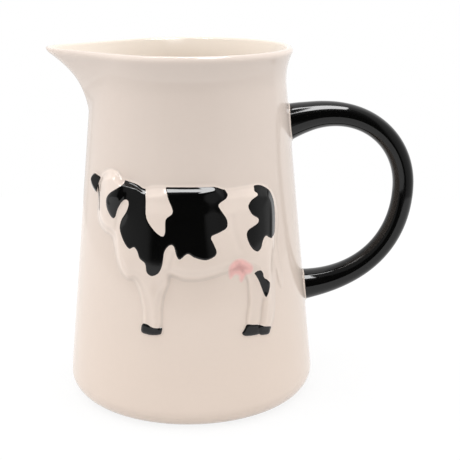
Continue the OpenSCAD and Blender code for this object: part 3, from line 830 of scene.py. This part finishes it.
def add_node(tree, kind, inputs=None, **properties):
    """A node with its properties set by name, and its inputs, by name or number, set or linked to sockets."""
    node = tree.nodes.new(kind)
    for key, value in properties.items():
        setattr(node, key, value)
    for key, value in (inputs or {}).items():
        if isinstance(value, bpy.types.NodeSocket):
            tree.links.new(value, node.inputs[key])
        else:
            node.inputs[key].default_value = value
    return node


def maths(tree, operation, *inputs):
    """The result of a Math node on sockets and numbers."""
    return add_node(tree, "ShaderNodeMath", dict(enumerate(inputs)), operation=operation).outputs[0]


def remap(tree, value, low, high, at_low, at_high):
    """A value carried from one range to another and kept inside it."""
    ends = {"From Min": low, "From Max": high, "To Min": at_low, "To Max": at_high}
    return add_node(tree, "ShaderNodeMapRange", {"Value": value, **ends}).outputs[0]


def scaled(tree, colour, factor):
    """A colour times a factor."""
    return add_node(tree, "ShaderNodeVectorMath", {0: colour, "Scale": factor}, operation="SCALE").outputs[0]


def object_place(tree):
    """Object coordinates, which are metres in the jug's own frame."""
    return add_node(tree, "ShaderNodeTexCoord").outputs["Object"]


def noise(tree, scale, detail, rough=0.5):
    """A noise over the jug."""
    inputs = {"Vector": object_place(tree), "Scale": scale, "Detail": detail, "Roughness": rough}
    return add_node(tree, "ShaderNodeTexNoise", inputs).outputs["Fac"]


def attribute(tree, name):
    """A number that the mesh keeps for each vertex."""
    return add_node(tree, "ShaderNodeAttribute", attribute_name=name).outputs["Fac"]


def low_mask(tree, low, high):
    """A mask that falls from 1 to 0 between two heights."""
    height = add_node(tree, "ShaderNodeSeparateXYZ", {0: object_place(tree)}).outputs["Z"]
    return remap(tree, height, low, high, at_low=1.0, at_high=0.0)


def mix_colours(tree, mask, first, second):
    """One colour turned into another by a mask. Either colour may be a socket or a value."""
    first, second = (colour if isinstance(colour, bpy.types.NodeSocket) else (*colour, 1.0)
                     for colour in (first, second))
    return add_node(tree, "ShaderNodeMix", {"Factor": mask, 6: first, 7: second}, data_type="RGBA").outputs[2]


@lru_cache(maxsize=None)
def glaze_group():
    """Shared glaze effect: slow mottling of the colour, uneven gloss and an orange-peel skin."""
    group, source, sink = new_group(
        "Glaze skin",
        [("Color", "NodeSocketColor", (0.8, 0.8, 0.8, 1)), ("Mottle", "NodeSocketFloat", 0.05),
         ("Gloss", "NodeSocketFloat", 0.1), ("Patch Scale", "NodeSocketFloat", 22.0)],
        [("Color", "NodeSocketColor"), ("Roughness", "NodeSocketFloat"), ("Height", "NodeSocketFloat")])
    fine_share = 0.3
    gloss_swing = 0.12
    broad_waves = 6.0
    fine = maths(group, "MULTIPLY", noise(group, scale=420.0, detail=2.0), fine_share)
    slow = noise(group, scale=source.outputs["Patch Scale"], detail=4.0, rough=0.55)
    cloud = maths(group, "MULTIPLY_ADD", slow, 1.0 - fine_share, fine)
    centred = maths(group, "SUBTRACT", cloud, 0.5)
    swing = maths(group, "MULTIPLY_ADD", centred, source.outputs["Mottle"], 1.0)
    rough = maths(group, "MULTIPLY_ADD", centred, gloss_swing, source.outputs["Gloss"])
    peel = noise(group, scale=160.0, detail=1.5)
    height = maths(group, "MULTIPLY_ADD", noise(group, scale=26.0, detail=1.0), broad_waves, peel)
    group.links.new(scaled(group, source.outputs["Color"], swing), sink.inputs["Color"])
    group.links.new(rough, sink.inputs["Roughness"])
    group.links.new(height, sink.inputs["Height"])
    return group


@lru_cache(maxsize=None)
def speck_group():
    """Mask of tiny, sparse iron specks: the cores of a few Voronoi cells chosen by their colour."""
    group, source, sink = new_group(
        "Iron specks",
        [("Scale", "NodeSocketFloat", 170.0), ("Share", "NodeSocketFloat", 0.02),
         ("Size", "NodeSocketFloat", 0.09)],
        [("Mask", "NodeSocketFloat")])
    cells = add_node(group, "ShaderNodeTexVoronoi",
                     {"Vector": object_place(group), "Scale": source.outputs["Scale"]})
    pick = add_node(group, "ShaderNodeSeparateColor", {0: cells.outputs["Color"]})
    chosen = maths(group, "LESS_THAN", pick.outputs[0], source.outputs["Share"])
    core = remap(group, cells.outputs["Distance"], 0.0, source.outputs["Size"], at_low=1.0, at_high=0.0)
    group.links.new(maths(group, "MULTIPLY", chosen, core), sink.inputs["Mask"])
    return group


def empty_material(name):
    """A material with nothing but its output, and its node tree."""
    material = bpy.data.materials.new(name)
    material.use_nodes = True
    tree = material.node_tree
    tree.nodes.clear()
    return material, tree, add_node(tree, "ShaderNodeOutputMaterial")


def new_glaze(name, ior):
    """A material with its shader, ready for a glaze's colour, gloss and skin."""
    material, tree, output = empty_material(name)
    shader = add_node(tree, "ShaderNodeBsdfPrincipled", {"IOR": ior})
    tree.links.new(shader.outputs[0], output.inputs["Surface"])
    return material, tree, shader


def glaze_skin(tree, colour, mottle, gloss, patch_scale):
    """The shared glaze effect with a material's own values."""
    inputs = {"Color": colour, "Mottle": mottle, "Gloss": gloss, "Patch Scale": patch_scale}
    return add_node(tree, "ShaderNodeGroup", inputs, node_tree=glaze_group()).outputs


def dress(tree, shader, colour, rough, height, strength, depth):
    """Gives the shader its colour, its gloss and, by a Bump node, the glaze's uneven skin."""
    bump = add_node(tree, "ShaderNodeBump", {"Strength": strength, "Distance": depth, "Height": height})
    tree.links.new(colour, shader.inputs["Base Color"])
    tree.links.new(rough, shader.inputs["Roughness"])
    tree.links.new(bump.outputs[0], shader.inputs["Normal"])


@lru_cache(maxsize=None)
def cream_glaze():
    """Cream glaze, mottled and specked, warmer low on the jug and bare where the foot ring stands.

    It is paler on the relief's ridges and the rim's edge and darker in hollows, partly from the glaze running
    thin and pooling, partly as painted highlight and painted shade. High on the cow it is painted paler
    and at the cow's feet darker, as painted light from above. Inside the jug it is paler, as painted light.
    """
    colours = settings().glaze
    bare_roughness = 0.85
    material, tree, shader = new_glaze("cream_glaze_finish", ior=1.5)
    outer = mix_colours(tree, low_mask(tree, 30 * MM, 150 * MM), colours.cream, colours.warm)
    # Inside the jug the cream turns to the paler inner cream, as painted light.
    cream = mix_colours(tree, attribute(tree, "inside"), outer, colours.inner)
    skin = glaze_skin(tree, cream, mottle=0.06, gloss=0.1, patch_scale=24.0)
    # Painted highlight on ridges and the rim, painted shade in hollows and painted light high on the cow,
    # partly also the glaze running thin and pooling.
    thin = remap(tree, attribute(tree, "crest_glaze_and_shade_mm"), -0.5, 0.5, at_low=0.86, at_high=1.14)
    specks = add_node(tree, "ShaderNodeGroup", {"Scale": 150.0, "Share": 0.006, "Size": 0.1},
                      node_tree=speck_group())
    spotted = mix_colours(tree, specks.outputs["Mask"], scaled(tree, skin["Color"], thin), colours.speck)
    bare = low_mask(tree, 0.2 * MM, 0.6 * MM)
    rough = add_node(tree, "ShaderNodeMix", {"Factor": bare, 2: skin["Roughness"], 3: bare_roughness},
                     data_type="FLOAT").outputs[0]
    dress(tree, shader, mix_colours(tree, bare, spotted, colours.clay), rough, skin["Height"],
          strength=0.05, depth=0.6 * MM)
    return material


@lru_cache(maxsize=None)
def black_glaze():
    """Black glaze, uneven in its depth."""
    material, tree, shader = new_glaze("black_glaze_finish", ior=1.45)
    skin = glaze_skin(tree, (*settings().glaze.black, 1), mottle=0.5, gloss=0.07, patch_scale=40.0)
    dress(tree, shader, skin["Color"], skin["Roughness"], skin["Height"], strength=0.04, depth=0.5 * MM)
    return material


@lru_cache(maxsize=None)
def pink_glaze():
    """Brushed pink that is paler at its edges and deeper in its middle."""
    colours = settings().glaze
    material, tree, shader = new_glaze("pink_glaze_finish", ior=1.5)
    edge = attribute(tree, "edge_mm")
    deep = remap(tree, edge, 2.6, 4.6, at_low=0.0, at_high=1.0)
    pink = mix_colours(tree, deep, colours.pink, colours.deep_pink)
    skin = glaze_skin(tree, pink, mottle=0.5, gloss=0.12, patch_scale=190.0)
    thin = remap(tree, edge, 0.0, 1.7, at_low=0.8, at_high=0.0)
    dress(tree, shader, mix_colours(tree, thin, skin["Color"], colours.cream), skin["Roughness"],
          skin["Height"], strength=0.05, depth=0.5 * MM)
    return material


def seen_rays(tree):
    """1 for rays from the camera, reflections and glass, and 0 for the light that falls on things."""
    rays = add_node(tree, "ShaderNodeLightPath").outputs
    direct = maths(tree, "MAXIMUM", rays["Is Camera Ray"], rays["Is Glossy Ray"])
    return maths(tree, "MAXIMUM", direct, rays["Is Transmission Ray"])


def white_floor():
    """A pale floor that the camera and reflections see as white, and that keeps the jug's shadow."""
    glow_share = 0.85
    material, tree, output = empty_material("floor_paper")
    seen = seen_rays(tree)
    paper = add_node(tree, "ShaderNodeBsdfDiffuse",
                     {"Color": mix_colours(tree, seen, (0.74, 0.74, 0.74), (0.9, 0.9, 0.9))})
    glow = add_node(tree, "ShaderNodeEmission", {"Color": (1, 1, 1, 1), "Strength": 1.0})
    blend = add_node(tree, "ShaderNodeMixShader",
                     {"Fac": maths(tree, "MULTIPLY", seen, glow_share), 1: paper.outputs[0],
                      2: glow.outputs[0]})
    tree.links.new(blend.outputs[0], output.inputs["Surface"])
    return material


def build_floor():
    """A round floor with its centre under the jug, as rings that grow with the square of their number."""
    radius = settings().stage.floor_r
    rings = radius * (np.arange(1, 13) / 12) ** 2
    around = np.linspace(0.0, 2 * math.pi, 96, endpoint=False)
    x = rings[:, None] * np.cos(around)
    y = rings[:, None] * np.sin(around)
    points = np.concatenate([np.stack([x, y, 0 * x], -1).reshape(-1, 3), [[0, 0, 0]]])
    faces = ring_faces(len(rings), len(around))[:, ::-1]
    column = np.arange(len(around))
    fan = np.stack([np.full(len(around), len(points) - 1), column, (column + 1) % len(around)], -1)
    mesh = bpy.data.meshes.new("floor")
    mesh.from_pydata(points.tolist(), [], np.concatenate([faces, fan]).tolist())
    mesh.materials.append(white_floor())
    floor = bpy.data.objects.new("floor", mesh)
    bpy.context.scene.collection.objects.link(floor)


def build_card():
    """A grey studio card curved round the front, which only reflections see, with a dark gap for a camera.

    It is part of a sphere, with rows at heights and columns at angles from the front. The gap leans to the
    right by a share of its height. A point's level rises at the gap's edges and goes on rising with its angle
    from the gap's foot. A thin dark line stands far to the left, where two sheets of the card meet.
    """
    radius = settings().stage.card_r
    gap_turn, gap_half, gap_lean = -7.0, 27.0, 0.75
    dark_level, edge_level, side_level = 0.02, 0.28, 0.46
    seam_turn, seam_half, seam_depth = -139.5, 1.6, 0.7
    side, up = np.meshgrid(np.radians(np.arange(-170.0, 118.0, 1.0)), np.radians(np.arange(-16.0, 85.0, 1.5)))
    way = np.stack([np.sin(side) * np.cos(up), -np.cos(side) * np.cos(up), np.sin(up)], -1)
    turn = np.degrees(side)
    away = np.abs(turn - gap_turn)
    gap = np.abs(turn - gap_turn - gap_lean * np.degrees(np.clip(up, 0.0, None)))
    level = dark_level + edge_level * smooth_rise((gap - gap_half) / 10.0)
    level = level + side_level * np.clip((away - 36.0) / 90.0, 0.0, 1.0)
    level *= 1 - seam_depth * np.exp(-((turn - seam_turn) / seam_half) ** 2)
    rows, columns = side.shape
    corner = (np.arange(rows - 1)[:, None] * columns + np.arange(columns - 1)).ravel()
    faces = np.stack([corner, corner + columns, corner + columns + 1, corner + 1], -1)
    mesh = bpy.data.meshes.new("studio_card")
    mesh.from_pydata((radius * way).reshape(-1, 3).tolist(), [], faces.tolist())
    material, tree, output = empty_material("studio_card_paper")
    glow = add_node(tree, "ShaderNodeEmission", {"Color": attribute(tree, "level"), "Strength": 1.0})
    tree.links.new(glow.outputs[0], output.inputs["Surface"])
    mesh.materials.append(material)
    card = bpy.data.objects.new("studio_card", mesh)
    bpy.context.scene.collection.objects.link(card)
    set_attribute(card, "level", level.ravel())
    card.visible_camera = False
    card.visible_diffuse = False
    card.visible_transmission = False
    card.visible_shadow = False


def build_world():
    """White for the camera and reflections. The light that falls on the jug comes from above and both sides.

    Its level is front + side * (x - middle)^2 + top * z for a direction's x and its z above the ground, which
    lights a wall that faces the front a little less than one that faces a side.
    """
    stage = settings().stage
    middle = 0.04
    world = bpy.data.worlds.new("studio")
    bpy.context.scene.world = world
    world.use_nodes = True
    tree = world.node_tree
    tree.nodes.clear()
    output = add_node(tree, "ShaderNodeOutputWorld")
    place = add_node(tree, "ShaderNodeTexCoord")
    way = add_node(tree, "ShaderNodeSeparateXYZ", {0: place.outputs["Generated"]}).outputs
    across = maths(tree, "SUBTRACT", way["X"], middle)
    square = maths(tree, "MULTIPLY", across, across)
    sides = maths(tree, "MULTIPLY_ADD", square, stage.side_level, stage.front_level)
    above = maths(tree, "MAXIMUM", way["Z"], 0.0)
    level = maths(tree, "MULTIPLY_ADD", above, stage.top_level, sides)
    studio = add_node(tree, "ShaderNodeBackground", {"Color": (1, 1, 1, 1), "Strength": level})
    white = add_node(tree, "ShaderNodeBackground", {"Color": (1, 1, 1, 1), "Strength": 1.0})
    choose = add_node(tree, "ShaderNodeMixShader",
                      {"Fac": seen_rays(tree), 1: studio.outputs[0], 2: white.outputs[0]})
    tree.links.new(choose.outputs[0], output.inputs["Surface"])


def add_area_light(name, place, size, watts):
    """A rectangular light that faces straight down and only shows as a reflection in the glaze."""
    light = bpy.data.lights.new(name, "AREA")
    light.shape = "RECTANGLE"
    light.size, light.size_y = size
    light.energy = watts
    lamp = bpy.data.objects.new(name, light)
    bpy.context.scene.collection.objects.link(lamp)
    lamp.location = place
    lamp.visible_diffuse = False


def build_camera():
    """The camera where the photograph was taken from."""
    stage = settings().stage
    data = bpy.data.cameras.new("camera")
    data.sensor_width = 36.0
    data.lens = data.sensor_width * stage.focal_pixels / PHOTO_PIXELS
    data.clip_start = 0.01
    camera = bpy.data.objects.new("camera", data)
    bpy.context.scene.collection.objects.link(camera)
    camera.location = (stage.camera_x, stage.camera_y, stage.camera_z)
    camera.rotation_euler = (math.pi / 2 - stage.camera_pitch, 0.0, -stage.camera_yaw)
    bpy.context.scene.camera = camera


class JugOperator:
    """What the add-on's operators share."""
    bl_options = {"REGISTER", "UNDO"}


class JUG_OT_body(JugOperator, Operator):
    """Build the cast body with its rim, lip, inside and foot"""
    bl_idname = "jug.body"
    bl_label = "Cast body"

    def execute(self, context):
        build_body()
        return {"FINISHED"}


class JUG_OT_handle(JugOperator, Operator):
    """Build the black loop handle"""
    bl_idname = "jug.handle"
    bl_label = "Loop handle"

    def execute(self, context):
        build_handle()
        return {"FINISHED"}


class JUG_OT_collars(JugOperator, Operator):
    """Build the clay collars at the handle's ends"""
    bl_idname = "jug.collars"
    bl_label = "Handle collars"

    def execute(self, context):
        build_collars()
        return {"FINISHED"}


class JUG_OT_cow(JugOperator, Operator):
    """Build the cow's cream relief on the front wall"""
    bl_idname = "jug.cow"
    bl_label = "Cow in relief"

    def execute(self, context):
        build_cow()
        return {"FINISHED"}


class JUG_OT_black_glaze(JugOperator, Operator):
    """Lay the black glaze on the cow's markings, hooves and ear"""
    bl_idname = "jug.black_glaze"
    bl_label = "Black glaze on the cow"

    def execute(self, context):
        build_black("cow_black_markings", "markings", "cow_markings")
        build_black("cow_black_hooves", "hooves", "cow_hooves")
        build_black("cow_black_ear", "ear", "cow_ear")
        return {"FINISHED"}


class JUG_OT_udder(JugOperator, Operator):
    """Lay the pink glaze on the cow's udder"""
    bl_idname = "jug.udder"
    bl_label = "Pink udder"

    def execute(self, context):
        build_udder()
        return {"FINISHED"}


class JUG_OT_stage(JugOperator, Operator):
    """Set up the floor, the light and the camera"""
    bl_idname = "jug.stage"
    bl_label = "Stage"

    def execute(self, context):
        bpy.context.scene.view_settings.view_transform = "Standard"
        build_floor()
        build_card()
        build_world()
        build_camera()
        stage = settings().stage
        add_area_light("top_light", **TOP_LIGHT, watts=stage.top_watts)
        add_area_light("front_light", **FRONT_LIGHT, watts=stage.front_watts)
        return {"FINISHED"}


OPERATORS = (JUG_OT_stage, JUG_OT_body, JUG_OT_handle, JUG_OT_collars, JUG_OT_cow, JUG_OT_black_glaze,
             JUG_OT_udder)


class JugSettings(PropertyGroup):
    """All the settings of the add-on."""
    body: PointerProperty(type=BodySettings)
    handle: PointerProperty(type=HandleSettings)
    cow: PointerProperty(type=CowSettings)
    glaze: PointerProperty(type=GlazeSettings)
    stage: PointerProperty(type=StageSettings)


class JUG_PT_sidebar(Panel):
    """The jug's operators and settings in the 3D view's sidebar"""
    bl_idname = "JUG_PT_sidebar"
    bl_label = "Earthenware jug"
    bl_space_type = "VIEW_3D"
    bl_region_type = "UI"
    bl_category = "Jug"

    def draw(self, context):
        for operator in OPERATORS:
            self.layout.operator(operator.bl_idname)
        for part in ("body", "handle", "cow", "glaze", "stage"):
            box = self.layout.box()
            box.label(text=part.capitalize())
            group = getattr(context.scene.jug_settings, part)
            for name in group.__annotations__:
                box.prop(group, name)


CLASSES = (BodySettings, HandleSettings, CowSettings, GlazeSettings, StageSettings, JugSettings,
           *OPERATORS, JUG_PT_sidebar)


def register():
    for cls in CLASSES:
        bpy.utils.register_class(cls)
    bpy.types.Scene.jug_settings = PointerProperty(type=JugSettings)


def unregister():
    del bpy.types.Scene.jug_settings
    for cls in reversed(CLASSES):
        bpy.utils.unregister_class(cls)


def main():
    """Registers the add-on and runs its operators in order."""
    register()
    bpy.ops.jug.stage()
    bpy.ops.jug.body()
    bpy.ops.jug.handle()
    bpy.ops.jug.collars()
    bpy.ops.jug.cow()
    bpy.ops.jug.black_glaze()
    bpy.ops.jug.udder()


if __name__ == "__main__":
    main()
